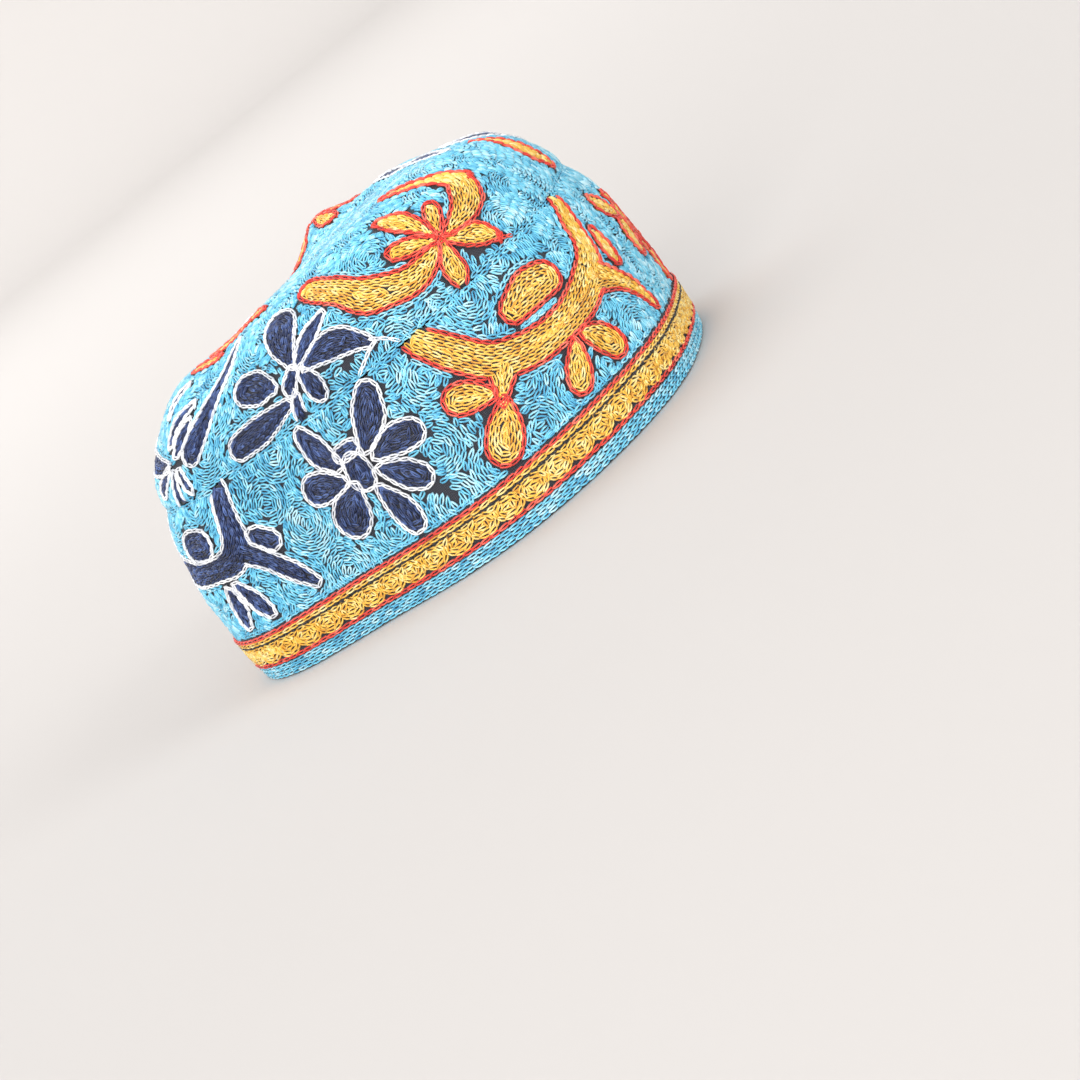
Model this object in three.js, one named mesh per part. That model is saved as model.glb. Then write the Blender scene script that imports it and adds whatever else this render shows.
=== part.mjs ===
// A soft embroidered skullcap (tubeteika), resting on its rim.
// Millimetres, +Z up, the rim on z = 0 and the origin under the middle of the cap.
// The cap is a cloth side band with a domed crown sewn on top of it, a gold strip that stands
// a little proud above the rim, and a narrow sky-blue edging below that strip.
// One outline gives every piece its place: at a bearing around the cap and a level up the
// wall (0 at the rim, 1 at the seam), or a radius across the crown (1 at the seam, 0 on top).

import * as THREE from "three";

// Driving dimensions
const PLAN_RADIUS = 87.7; // mean radius of the wall, outside
const BAND_HEIGHT = 65; // rim to seam, on average
const CROWN_RISE = 29.5; // seam to the top of the crown
const WALL_THICKNESS = 2.2; // ground cloth with its embroidery
const GAP = 0.3; // clearance between sewn pieces
const STRIP_THICKNESS = 1.2;
const STRIP_PROUD = 0.5; // how far the strip and the edging stand out of the wall

// Levels up the wall, in millimetres at the mean height of the band
const EDGING_TOP = 5.3;
const STRIP_BOTTOM = 5.6;
const STRIP_TOP = 17.4;
const RECESS_TOP = 17.7; // the band's outer face is set back below this level

// The plan is round with a few soft corners: each row swells it where that many lobes point
const PLAN_LOBES = [
  { lobes: 2, swell: 0.024, bearing: -10 },
  { lobes: 3, swell: 0.009, bearing: 41 },
  { lobes: 4, swell: 0.036, bearing: 17 },
  { lobes: 5, swell: 0.007, bearing: -18 },
  { lobes: 6, swell: 0.016, bearing: 21.5 },
];

// How the wall stands
const SHOULDER = 0.08; // share of the radius lost where the wall turns in to the seam
const RIM_TUCK = 0.016; // share of the radius lost at the rim
const RIM_TUCK_LEVEL = 0.25; // the tuck ends at this level
const SEAM_LEAN = { x: 1.2, y: 0.7 }; // the seam sits this far off the rim's middle
const SEAM_TILT = { x: 0.052, y: -0.017 }; // share of the height added at +X and at +Y

// How the crown bulges: a flat top with round shoulders, a tilt and a few soft folds
const DOME_FLATNESS = 4.5;
const DOME_ROUNDING = 1.5;
const CROWN_TILT = { x: 0.079, y: -0.095 };
const CROWN_FOLDS = [
  { name: "far knuckle", x: 10, y: 22, spreadX: 8.5, spreadY: 11, height: 7.6 },
  { name: "left swell", x: -60, y: -14, spreadX: 13, spreadY: 20, height: 4.7 },
  { name: "back right swell", x: 30, y: 33, spreadX: 14, spreadY: 20, height: 4.6 },
];

// How finely the cloth is faceted
const BEARINGS = 72;
const BAND_ROWS = 7;
const CROWN_ROWS = 12;

const radians = THREE.MathUtils.degToRad;

/** Outer radius of the rim outline at a bearing in radians. */
function planRadius(bearing) {
  let share = 1;
  for (const { lobes, swell, bearing: facing } of PLAN_LOBES) {
    share += swell * Math.cos(lobes * (bearing - radians(facing)));
  }
  return PLAN_RADIUS * share;
}

/** Height of the seam over the rim, for a direction of length 1 at the seam and 0 on the axis. */
function seamHeight(east, north) {
  return BAND_HEIGHT * (1 + SEAM_TILT.x * east + SEAM_TILT.y * north);
}

/** A point on the outside of the wall. */
function wallPoint(bearing, level) {
  const tuck = RIM_TUCK * Math.max(0, 1 - level / RIM_TUCK_LEVEL) ** 2;
  const radius = planRadius(bearing) * (1 - SHOULDER * level ** 4 - tuck);
  const east = Math.cos(bearing);
  const north = Math.sin(bearing);
  return new THREE.Vector3(
    radius * east + SEAM_LEAN.x * level,
    radius * north + SEAM_LEAN.y * level,
    seamHeight(east, north) * level,
  );
}

/** A point on the outside of the crown. */
function crownPoint(bearing, share) {
  const radius = planRadius(bearing) * (1 - SHOULDER) * share;
  const x = radius * Math.cos(bearing) + SEAM_LEAN.x;
  const y = radius * Math.sin(bearing) + SEAM_LEAN.y;
  const base = seamHeight(share * Math.cos(bearing), share * Math.sin(bearing));
  const bulge = Math.max(0, 1 - share ** DOME_FLATNESS) ** (1 / DOME_ROUNDING);
  let rise = CROWN_RISE + CROWN_TILT.x * x + CROWN_TILT.y * y;
  for (const fold of CROWN_FOLDS) {
    const across = (x - fold.x) / fold.spreadX;
    const along = (y - fold.y) / fold.spreadY;
    rise += fold.height * Math.exp(-(across ** 2 + along ** 2) / 2);
  }
  return new THREE.Vector3(x, y, base + GAP / 2 + bulge * rise);
}

/** The level outward direction of the rim outline at a bearing. */
function outward(bearing) {
  const step = 0.01;
  const run = wallPoint(bearing + step, 0.5).sub(wallPoint(bearing - step, 0.5));
  return new THREE.Vector3(run.y, -run.x, 0).normalize();
}

/** Radius share of one of the crown's rows, closer together where the crown turns steep. */
function rowShare(row) {
  return 1 - (row / CROWN_ROWS) ** 1.5;
}

/** The direction square to the crown's outer face, level at its edge. */
function crownNormal(bearing, share) {
  if (share > 0.999) {
    return outward(bearing);
  }
  const turn = 0.02;
  const reach = 0.01;
  const inner = Math.max(share - reach, 0.001);
  const outer = Math.min(share + reach, 0.9995);
  const around = crownPoint(bearing + turn, Math.max(share, 0.05));
  around.sub(crownPoint(bearing - turn, Math.max(share, 0.05)));
  const inwardRun = crownPoint(bearing, inner).sub(crownPoint(bearing, outer));
  return around.cross(inwardRun).normalize();
}

/** A closed geometry from points and triangles. */
function closedGeometry(points, triangles) {
  const geometry = new THREE.BufferGeometry();
  geometry.setFromPoints(points);
  geometry.setIndex(triangles);
  geometry.computeVertexNormals();
  return geometry;
}

/**
 * A ring around the cap. The section's corners run up the outer face and down the inner one:
 * level is the place up the wall and depth is how far inside the outline the corner lies.
 */
function ringGeometry(section) {
  const points = [];
  const triangles = [];
  const corners = section.length;
  for (let i = 0; i < BEARINGS; i += 1) {
    const bearing = (2 * Math.PI * i) / BEARINGS;
    const out = outward(bearing);
    for (const { level, depth } of section) {
      points.push(wallPoint(bearing, level).addScaledVector(out, -depth));
    }
    const next = (i + 1) % BEARINGS;
    for (let k = 0; k < corners; k += 1) {
      const above = (k + 1) % corners;
      const here = i * corners;
      const there = next * corners;
      triangles.push(here + k, there + k, there + above);
      triangles.push(here + k, there + above, here + above);
    }
  }
  return closedGeometry(points, triangles);
}

/** A closed section with a few rows between two levels, on the outside and on the inside. */
function sectionBetween(bottom, top, outerDepth, innerDepth, rows) {
  const levels = Array.from({ length: rows + 1 }, (_, row) => bottom + ((top - bottom) * row) / rows);
  const outside = levels.map((level) => ({ level, depth: outerDepth }));
  const inside = levels.map((level) => ({ level, depth: innerDepth })).reverse();
  return [...outside, ...inside];
}

/** The wall: its outer face is set back behind the strip and the edging. */
function sideBand() {
  const recess = STRIP_THICKNESS - STRIP_PROUD + GAP;
  const recessLevel = RECESS_TOP / BAND_HEIGHT;
  const top = 1 - GAP / 2 / BAND_HEIGHT;
  const upper = sectionBetween(recessLevel, top, 0, WALL_THICKNESS, BAND_ROWS);
  const lower = sectionBetween(0, recessLevel, recess, WALL_THICKNESS, 2);
  const half = lower.length / 2;
  return ringGeometry([...lower.slice(0, half), ...upper, ...lower.slice(half + 1)]);
}

/** A strip laid over the wall, as tall as from one millimetre level to the other. */
function strip(bottom, top, rows) {
  const inner = STRIP_THICKNESS - STRIP_PROUD;
  return ringGeometry(
    sectionBetween(bottom / BAND_HEIGHT, top / BAND_HEIGHT, -STRIP_PROUD, inner, rows),
  );
}

/** The crown: a thin dome, closed along its edge. */
function crown() {
  const points = [];
  const triangles = [];
  const place = (side, row, i) => (side * CROWN_ROWS + row) * BEARINGS + (i % BEARINGS);
  for (const depth of [0, WALL_THICKNESS]) {
    for (let row = 0; row < CROWN_ROWS; row += 1) {
      for (let i = 0; i < BEARINGS; i += 1) {
        const bearing = (2 * Math.PI * i) / BEARINGS;
        const normal = crownNormal(bearing, rowShare(row));
        points.push(crownPoint(bearing, rowShare(row)).addScaledVector(normal, -depth));
      }
    }
  }
  const outerTop = points.push(crownPoint(0, 0)) - 1;
  const innerTop = points.push(crownPoint(0, 0).sub(new THREE.Vector3(0, 0, WALL_THICKNESS))) - 1;
  for (let i = 0; i < BEARINGS; i += 1) {
    for (let row = 0; row < CROWN_ROWS - 1; row += 1) {
      const [a, b] = [place(0, row, i), place(0, row, i + 1)];
      const [c, d] = [place(0, row + 1, i + 1), place(0, row + 1, i)];
      triangles.push(a, b, c, a, c, d);
      const [e, f] = [place(1, row, i), place(1, row, i + 1)];
      const [g, h] = [place(1, row + 1, i + 1), place(1, row + 1, i)];
      triangles.push(e, g, f, e, h, g);
    }
    const last = CROWN_ROWS - 1;
    triangles.push(place(0, last, i), place(0, last, i + 1), outerTop);
    triangles.push(place(1, last, i), innerTop, place(1, last, i + 1));
    const [outA, outB] = [place(0, 0, i), place(0, 0, i + 1)];
    const [inA, inB] = [place(1, 0, i), place(1, 0, i + 1)];
    triangles.push(outA, inB, outB, outA, inA, inB);
  }
  return closedGeometry(points, triangles);
}

/** A named piece of cloth with its colour. */
function cloth(name, geometry, color) {
  const material = new THREE.MeshStandardMaterial({ color, roughness: 0.85, metalness: 0 });
  const mesh = new THREE.Mesh(geometry, material);
  mesh.name = name;
  return mesh;
}

const SKY_BLUE = "#6ec6e8";
const GOLD = "#f5b93c";

const cap = new THREE.Group();
cap.add(
  cloth("crown", crown(), SKY_BLUE),
  cloth("side_band", sideBand(), SKY_BLUE),
  cloth("border_band", strip(STRIP_BOTTOM, STRIP_TOP, 3), GOLD),
  cloth("rim_edge", strip(0, EDGING_TOP, 1), SKY_BLUE),
);

// The origin goes under the middle of the cap
const middle = new THREE.Box3().setFromObject(cap).getCenter(new THREE.Vector3());
for (const mesh of cap.children) {
  mesh.position.set(-middle.x, -middle.y, 0);
}

export default cap;
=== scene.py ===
# %% [markdown]
# # An embroidered skullcap
# This lesson dresses a tubeteika, a soft skullcap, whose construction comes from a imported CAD
# model: a domed crown on an upright side band, a gold strip and a narrow edging at the rim. On the
# real cap the cloth hardly shows. Chain stitch covers it, loop beside loop, so the whole look is in
# the thread: sky-blue swirls, gold and navy ornament, and red and white outlines.
# A bump map could fake that, but from near by the loops have holes that show the dark cloth. So
# every loop here is real geometry, made in whole arrays and laid on the cloth by one formula.

# %% The frame
import math

import bmesh
import bpy
import numpy as np
from mathutils import Matrix, Vector


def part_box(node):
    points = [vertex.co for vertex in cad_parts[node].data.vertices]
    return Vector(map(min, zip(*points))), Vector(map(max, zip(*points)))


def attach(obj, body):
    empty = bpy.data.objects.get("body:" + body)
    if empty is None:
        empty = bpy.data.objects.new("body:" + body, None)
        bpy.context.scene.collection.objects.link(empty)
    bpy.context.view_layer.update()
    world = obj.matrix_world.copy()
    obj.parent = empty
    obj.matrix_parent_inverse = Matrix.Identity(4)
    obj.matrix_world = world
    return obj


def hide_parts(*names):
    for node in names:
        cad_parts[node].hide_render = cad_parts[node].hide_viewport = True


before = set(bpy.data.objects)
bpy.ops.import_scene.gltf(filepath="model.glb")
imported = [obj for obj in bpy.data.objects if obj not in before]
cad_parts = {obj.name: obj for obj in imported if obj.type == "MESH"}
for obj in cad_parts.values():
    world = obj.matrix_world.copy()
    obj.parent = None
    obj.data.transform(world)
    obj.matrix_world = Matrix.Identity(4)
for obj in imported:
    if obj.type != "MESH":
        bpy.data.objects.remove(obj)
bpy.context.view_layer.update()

MM = 0.001
rng = np.random.default_rng(7)
print("pieces in the frame:", ", ".join(sorted(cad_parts)))

# %% [markdown]
# ## The outline
# Every piece follows one outline, the same formula that the CAD model uses. Seen from above the cap
# is a circle with a few soft corners: each row of the table swells the radius where its lobes
# point. The wall turns in a little at the rim and more at the seam. The crown has a flat top with
# round shoulders, tilts a little, and carries three soft folds. Lengths are in millimetres, and
# bearings run from +X round to +Y.

# %% Outline of the cap
PLAN_RADIUS = 87.7
BAND_HEIGHT = 65.0
CROWN_RISE = 29.5
PLAN_LOBES = ((2, 0.024, -10), (3, 0.009, 41), (4, 0.036, 17), (5, 0.007, -18), (6, 0.016, 21.5))
SHOULDER = 0.08
RIM_TUCK, RIM_TUCK_LEVEL = 0.016, 0.25
SEAM_LEAN = (1.2, 0.7)
SEAM_TILT = (0.052, -0.017)
DOME_FLATNESS, DOME_ROUNDING = 4.5, 1.5
CROWN_TILT = (0.079, -0.095)
CROWN_FOLDS = (  # x, y, spread in x, spread in y, height
    (10, 22, 8.5, 11, 7.6),
    (-60, -14, 13, 20, 4.7),
    (30, 33, 14, 20, 4.6),
)
EDGING_TOP = 5.3
STRIP_BOTTOM, STRIP_TOP = 5.6, 17.4


def plan_radius(bearing):
    """Mean radius times one plus, for each row, its swell times the cosine of its lobes' angle."""
    share = 1 + sum(s * np.cos(n * (bearing - math.radians(at))) for n, s, at in PLAN_LOBES)
    return PLAN_RADIUS * share


def seam_height(east, north):
    """Band height, tilted along x and y, where (east, north) is 1 long at the seam."""
    return BAND_HEIGHT * (1 + SEAM_TILT[0] * east + SEAM_TILT[1] * north)


def wall_point(bearing, level):
    """Outside of the wall: the plan radius, less a tuck at the rim and level**4 at the shoulder."""
    tuck = RIM_TUCK * np.maximum(0, 1 - level / RIM_TUCK_LEVEL) ** 2
    radius = plan_radius(bearing) * (1 - SHOULDER * level**4 - tuck)
    east, north = np.cos(bearing), np.sin(bearing)
    x = radius * east + SEAM_LEAN[0] * level
    y = radius * north + SEAM_LEAN[1] * level
    return np.stack([x, y, seam_height(east, north) * level], axis=-1)


def crown_point(bearing, share):
    """Outside of the crown: a rise times (1 - share**flatness)**(1/rounding), plus the folds."""
    radius = plan_radius(bearing) * (1 - SHOULDER) * share
    x = radius * np.cos(bearing) + SEAM_LEAN[0]
    y = radius * np.sin(bearing) + SEAM_LEAN[1]
    bulge = np.maximum(0, 1 - share**DOME_FLATNESS) ** (1 / DOME_ROUNDING)
    rise = CROWN_RISE + CROWN_TILT[0] * x + CROWN_TILT[1] * y
    for at_x, at_y, spread_x, spread_y, height in CROWN_FOLDS:
        rise = rise + height * np.exp(-(((x - at_x) / spread_x) ** 2 + ((y - at_y) / spread_y) ** 2) / 2)
    base = seam_height(share * np.cos(bearing), share * np.sin(bearing))
    return np.stack([x, y, base + bulge * rise], axis=-1)


def frame_shift():
    """How far the CAD moved this outline to bring the origin under the middle of the cap."""
    around = np.linspace(0, 2 * np.pi, 721)
    levels = np.linspace(STRIP_BOTTOM, STRIP_TOP, 9)[:, None] / BAND_HEIGHT
    rim = wall_point(around, levels).reshape(-1, 3)
    low, high = (np.array(corner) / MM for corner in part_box("border_band"))
    shift = (low + high) / 2 - (rim.min(axis=0) + rim.max(axis=0)) / 2
    return np.array([shift[0], shift[1], 0.0])


SHIFT = frame_shift()
print("outline moved by", np.round(SHIFT, 3), "mm")

# %% [markdown]
# ## The pattern
# An embroiderer works on flat cloth, and so does this script. The band's pattern is unrolled: x runs
# around the rim and y up the wall. The crown's pattern is a disc whose radius is the distance over
# the dome, so that a stitch keeps its length on the steep shoulder. Two functions take a pattern
# point and a height above it to its place on the cap. The small ripple is the pucker that dense
# stitching draws into cloth, and near the seam the surface dips into a groove.

# %% From the pattern to the cap
CROWN_DISC = 98.0  # pattern radius of the crown's edge
RIM_AROUND = 2 * math.pi * PLAN_RADIUS
BEARING_STEPS, SHARE_STEPS = 120, 160
GROOVE_DEPTH, GROOVE_WIDTH = 0.5, 2.6
EDGE_INSET = 0.45  # a point nearer to the crown's edge than this hangs straight down
NORMAL_STEP = 0.4  # half the distance over which the surface's direction is measured
WAVE_HEIGHTS = (0.28, 0.22, 0.35)  # of the three sines of the pucker
STILL_BELOW, FADE_IN = 18, 10  # the pucker starts above the strip and grows over this far
FADE_OUT = 8  # and dies away over this far from the seam
DENTS = (  # piece, x, y, spread, depth: soft hollows beside the folds
    ("crown", 44, -84, 7, 1.6),
    ("crown", -12, -62, 9, 1.3),
    ("crown", 72, -40, 8, 1.2),
    ("band", -58, 60, 7, 1.4),
    ("band", -150, 22, 14, 0.9),
)


def wrap_band(x):
    """Band x brought into one turn around the rim."""
    return (x + RIM_AROUND / 2) % RIM_AROUND - RIM_AROUND / 2


def crown_share_table():
    """Rows of bearing, columns of pattern radius: the radius share reached over the dome."""
    bearings = np.arange(BEARING_STEPS) * 2 * np.pi / BEARING_STEPS
    shares = 1 - np.linspace(0, 1, SHARE_STEPS) ** 1.5
    steps = np.diff(crown_point(bearings[:, None], shares[None]), axis=1)
    lengths = np.cumsum(np.linalg.norm(steps, axis=-1), axis=1)
    lengths = np.concatenate([np.zeros((BEARING_STEPS, 1)), lengths], axis=1)
    wanted = 1 - np.linspace(0, 1, SHARE_STEPS)
    return np.array([np.interp(wanted, row / row[-1], shares) for row in lengths])


SHARE_TABLE = crown_share_table()


def share_at(bearing, radius):
    """The table read between its rows and columns."""
    row = (bearing / (2 * np.pi) % 1) * BEARING_STEPS
    column = np.clip(radius / CROWN_DISC, 0, 1) * (SHARE_STEPS - 1)
    i = np.floor(row).astype(int)
    j = np.minimum(np.floor(column).astype(int), SHARE_STEPS - 2)
    across, along = row - i, column - j
    low = SHARE_TABLE[i % BEARING_STEPS, j] * (1 - along) + SHARE_TABLE[i % BEARING_STEPS, j + 1] * along
    i = (i + 1) % BEARING_STEPS
    high = SHARE_TABLE[i, j] * (1 - along) + SHARE_TABLE[i, j + 1] * along
    return low * (1 - across) + high * across


def pucker(x, y, piece):
    """Height of the cloth's small waves: three crossing sines, less the dents of the table."""
    turn = x / PLAN_RADIUS  # whole numbers of waves around the band, so that they close
    first, second, third = WAVE_HEIGHTS
    wave = first * np.sin(17 * turn + 0.8 * np.sin(y / 7.0)) + second * np.sin(y / 4.1 - 10 * turn + 1.7)
    wave = wave + third * np.sin(7 * turn - y / 11.0)
    for where, at_x, at_y, spread, depth in DENTS:
        if where == piece:
            wave = wave - depth * np.exp(-((x - at_x) ** 2 + (y - at_y) ** 2) / (2 * spread**2))
    return wave


def on_band(x, y, height):
    """Wall point at bearing x over the plan radius, pushed out along the normal."""
    x = wrap_band(x)

    def place(u, v):
        return wall_point(u / PLAN_RADIUS, v / BAND_HEIGHT)

    fade = np.clip((y - STILL_BELOW) / FADE_IN, 0, 1) * np.clip((BAND_HEIGHT - y) / FADE_OUT, 0, 1)
    groove = GROOVE_DEPTH * np.exp(-(((BAND_HEIGHT - y) / GROOVE_WIDTH) ** 2))
    return raised(place, x, y, height + fade * pucker(x, y, "band") - groove)


def on_crown(x, y, height):
    """Crown point at the pattern's bearing and radius, pushed out along the normal."""

    def place(u, v):
        bearing = np.arctan2(v, u)
        return crown_point(bearing, share_at(bearing, np.hypot(u, v)))

    radius = np.hypot(x, y)
    inside = np.minimum(radius, CROWN_DISC - EDGE_INSET)
    x, y = x * inside / np.maximum(radius, 0.01), y * inside / np.maximum(radius, 0.01)
    fade = np.clip((CROWN_DISC - radius) / FADE_OUT, 0, 1)
    groove = GROOVE_DEPTH * np.exp(-(((CROWN_DISC - radius) / GROOVE_WIDTH) ** 2))
    points = raised(place, x, y, height + fade * pucker(x, y, "crown") - groove)
    points[..., 2] -= (radius - inside) * MM  # what reaches past the edge hangs down
    return points


def raised(place, x, y, height):
    """The point, plus the height times the unit cross product of the two directions along it."""
    along_x = place(x + NORMAL_STEP, y) - place(x - NORMAL_STEP, y)
    along_y = place(x, y + NORMAL_STEP) - place(x, y - NORMAL_STEP)
    normal = np.cross(along_x, along_y)
    normal /= np.linalg.norm(normal, axis=-1, keepdims=True)
    return (place(x, y) + normal * np.asarray(height)[..., None] + SHIFT) * MM


print("rim", round(2 * math.pi * PLAN_RADIUS), "mm around, crown disc", round(2 * CROWN_DISC), "mm across")

# %% [markdown]
# ## Thread and cloth
# The thread is viscose rayon, a bright satin yarn: smooth, with a soft gloss that runs along each
# loop. A satin thread never looks one colour: loops lie at different angles to the light, and take
# dye and wear differently. Each loop therefore carries a number, its shade, and the material mixes a
# dark, a middle and a light tone by it. The shade is partly a tone that differs at random and partly
# painted light: the light tone is a painted highlight, the colour of the thread's glints, and the
# dark tone is painted shade, the colour of its shaded sides. Fine filaments twist around the thread.
# Real ones are some 0.02 mm thick, so they are drawn much coarser, about four to a millimetre, as a
# bump on the loop's own UV map.

# %% Colours and the small node helper
def linear(hex_colour):
    """An sRGB hex colour as the linear colour that a shader takes."""
    parts = [int(hex_colour[i : i + 2], 16) / 255 for i in (1, 3, 5)]
    return [c / 12.92 if c <= 0.04045 else ((c + 0.055) / 1.055) ** 2.4 for c in parts] + [1.0]


def add(tree, kind, links=(), **settings):
    """Add one node, set its properties or inputs by name, and link (output, input) pairs to it."""
    node = tree.nodes.new(kind)
    for name, value in settings.items():
        label = name.replace("_", " ")
        if hasattr(node, name):
            setattr(node, name, value)
        else:
            next(s for s in node.inputs if s.name.lower() == label).default_value = value
    for output, name in links:
        tree.links.new(output, next(s for s in node.inputs if s.name == name and s.enabled))
    return node


def new_material(name):
    """A material with an empty node tree and its output."""
    material = bpy.data.materials.new(name)
    material.use_nodes = True
    material.node_tree.nodes.clear()
    return material, material.node_tree


def finish_material(tree, shader):
    """Link the shader to the output."""
    add(tree, "ShaderNodeOutputMaterial", [(shader.outputs[0], "Surface")])


# %% Sewn thread
def sewing_thread(name, dark, middle, light):
    """A twisted thread in its stitches: three tones by shade, soft gloss, bumps of filaments.

    Its light tone is a painted highlight and its dark tone painted shade.
    """
    material, tree = new_material(name)
    shade = add(tree, "ShaderNodeAttribute", attribute_name="shade")
    ramp = add(tree, "ShaderNodeValToRGB", [(shade.outputs["Fac"], "Fac")])
    ramp.color_ramp.elements[0].color = linear(dark)
    ramp.color_ramp.elements[1].color = linear(light)
    ramp.color_ramp.elements.new(0.5).color = linear(middle)
    uv = add(tree, "ShaderNodeUVMap", uv_map="thread")
    turn = add(tree, "ShaderNodeMapping", [(uv.outputs[0], "Vector")])
    turn.inputs["Rotation"].default_value = (0, 0, 0.6)
    filaments = add(tree, "ShaderNodeTexWave", [(turn.outputs[0], "Vector")], scale=3.0, distortion=0.6)
    bump = add(tree, "ShaderNodeBump", [(filaments.outputs["Fac"], "Height")], strength=0.35)
    bump.inputs["Distance"].default_value = 0.05 * MM
    shader = add(
        tree,
        "ShaderNodeBsdfPrincipled",
        [(ramp.outputs["Color"], "Base Color"), (bump.outputs["Normal"], "Normal")],
        roughness=0.44,
        ior=1.5,
        sheen_weight=0.25,
        sheen_roughness=0.35,
    )
    finish_material(tree, shader)
    return material


# Spun viscose rayon, dyed and chain-stitched: a broad satin gloss along the top of each loop, with
# painted shade where it dives under and painted highlights in its light tone, so that rows of one
# dye read as many tones.
SKY_RAYON = sewing_thread("sky_blue_rayon_thread", "#46A2CA", "#78D2EE", "#C6F0FC")
GOLD_RAYON = sewing_thread("gold_rayon_thread", "#DA982A", "#FBCB52", "#FFEEA8")
NAVY_RAYON = sewing_thread("navy_rayon_thread", "#18203E", "#2A3A66", "#5A74B0")
RED_RAYON = sewing_thread("red_rayon_thread", "#C22A22", "#EE4232", "#FA7C66")
WHITE_RAYON = sewing_thread("white_rayon_thread", "#C9CDD6", "#F0F1F4", "#FFFFFF")


# %% Ground cloth
def ground_cotton(name, thread_colour, gap_colour):
    """Plain-woven cotton, dyed dark: two crossed sets of threads.

    The eye gets a matt, nearly black cloth with a fine grain between the loops. Real threads lie
    about 0.3 mm apart, and they are drawn 0.6 mm apart to show.
    """
    material, tree = new_material(name)
    uv = add(tree, "ShaderNodeUVMap", uv_map="cloth")
    weave = [
        add(tree, "ShaderNodeTexWave", [(uv.outputs[0], "Vector")], bands_direction=way, scale=0.55)
        for way in ("X", "Y")
    ]
    crossed = add(tree, "ShaderNodeMath", [(weave[0].outputs["Fac"], "Value")], operation="MULTIPLY")
    tree.links.new(weave[1].outputs["Fac"], crossed.inputs[1])
    tone = add(tree, "ShaderNodeValToRGB", [(crossed.outputs[0], "Fac")])
    tone.color_ramp.elements[0].color = linear(gap_colour)
    tone.color_ramp.elements[1].color = linear(thread_colour)
    bump = add(tree, "ShaderNodeBump", [(crossed.outputs[0], "Height")], strength=0.6)
    bump.inputs["Distance"].default_value = 0.12 * MM
    shader = add(
        tree,
        "ShaderNodeBsdfPrincipled",
        [(tone.outputs["Color"], "Base Color"), (bump.outputs["Normal"], "Normal")],
        roughness=0.9,
        sheen_weight=0.2,
    )
    finish_material(tree, shader)
    return material


CHARCOAL_COTTON = ground_cotton("charcoal_cotton_cloth", "#43454F", "#23242B")
MATERIALS = (SKY_RAYON, GOLD_RAYON, NAVY_RAYON, RED_RAYON, WHITE_RAYON, CHARCOAL_COTTON)
print("materials:", ", ".join(material.name for material in MATERIALS))

# %% [markdown]
# ## Cloth shells
# Under the thread lies plain cotton. Each cloth is a closed shell: the outer face is a grid laid by
# the outline, the inner face the same grid pushed inwards, and the edges join the two. The wall is
# closed around its section, like a ring; the crown closes over its middle.

# %% Meshes from whole arrays
def mesh_object(name, points, faces, material, uv=None, uv_name="cloth", shade=None):
    """A smooth mesh from an array of points and an array of faces with equal numbers of corners."""
    corners = faces.shape[1]
    mesh = bpy.data.meshes.new(name)
    mesh.vertices.add(len(points))
    mesh.vertices.foreach_set("co", points.astype(np.float32).ravel())
    mesh.loops.add(faces.size)
    mesh.loops.foreach_set("vertex_index", faces.astype(np.int32).ravel())
    mesh.polygons.add(len(faces))
    mesh.polygons.foreach_set("loop_start", np.arange(len(faces), dtype=np.int32) * corners)
    mesh.update(calc_edges=True)
    mesh.polygons.foreach_set("use_smooth", np.ones(len(faces), dtype=bool))
    if uv is not None:
        layer = mesh.uv_layers.new(name=uv_name)
        layer.data.foreach_set("uv", uv.astype(np.float32).ravel())
    if shade is not None:
        layer = mesh.attributes.new("shade", "FLOAT", "POINT")
        layer.data.foreach_set("value", shade.astype(np.float32).ravel())
    mesh.materials.append(material)
    mesh.validate()
    piece = bpy.data.objects.new(name, mesh)
    bpy.context.scene.collection.objects.link(piece)
    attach(piece, "root")
    return piece


def wrapped_faces(rows, columns, wrap_rows):
    """Quads of a grid whose columns close on themselves, and whose rows do too if asked."""
    i = np.arange(rows if wrap_rows else rows - 1)[:, None]
    j = np.arange(columns)[None]
    next_i, next_j = (i + 1) % rows, (j + 1) % columns
    corners = [i * columns + j, i * columns + next_j, next_i * columns + next_j, next_i * columns + j]
    return np.stack(np.broadcast_arrays(*corners), axis=-1).reshape(-1, 4)


CLOTH_DEPTH = 1.05  # the cloth's face lies this far under the outline, which is the thread's top
CLOTH_THICKNESS = 1.15
AROUND = 240
BAND_ROWS, CROWN_RINGS = 32, 44


def cloth_ring(name, heights, outer_depth, thickness, replaced):
    """A ring whose section runs up the outer face at the heights and back down the inner face."""
    heights = np.asarray(heights, dtype=float)
    y = np.concatenate([heights, heights[::-1]])[:, None]
    depth = np.repeat([outer_depth, outer_depth + thickness], len(heights))
    x = (np.arange(AROUND) * 2 * np.pi * PLAN_RADIUS / AROUND)[None]
    x, y, depth = np.broadcast_arrays(x, y, depth[:, None])
    points = on_band(x, y, -depth)
    points[y == 0, 2] = 0.0  # the rim lies flat on the floor
    faces = wrapped_faces(len(y), AROUND, wrap_rows=True)
    flat = np.stack([x.ravel(), y.ravel()], axis=-1)[faces]
    past_the_turn = flat[..., 0] < flat[:, :1, 0] - RIM_AROUND / 2
    flat[..., 0] += RIM_AROUND * past_the_turn
    piece = mesh_object(name, points.reshape(-1, 3), faces, CHARCOAL_COTTON, flat)
    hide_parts(replaced)
    return piece


band_heights = np.linspace(0, BAND_HEIGHT, BAND_ROWS)
band_cloth = cloth_ring("band_cloth", band_heights, CLOTH_DEPTH, CLOTH_THICKNESS, "side_band")
print("band cloth:", len(band_cloth.data.polygons), "faces")


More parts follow.
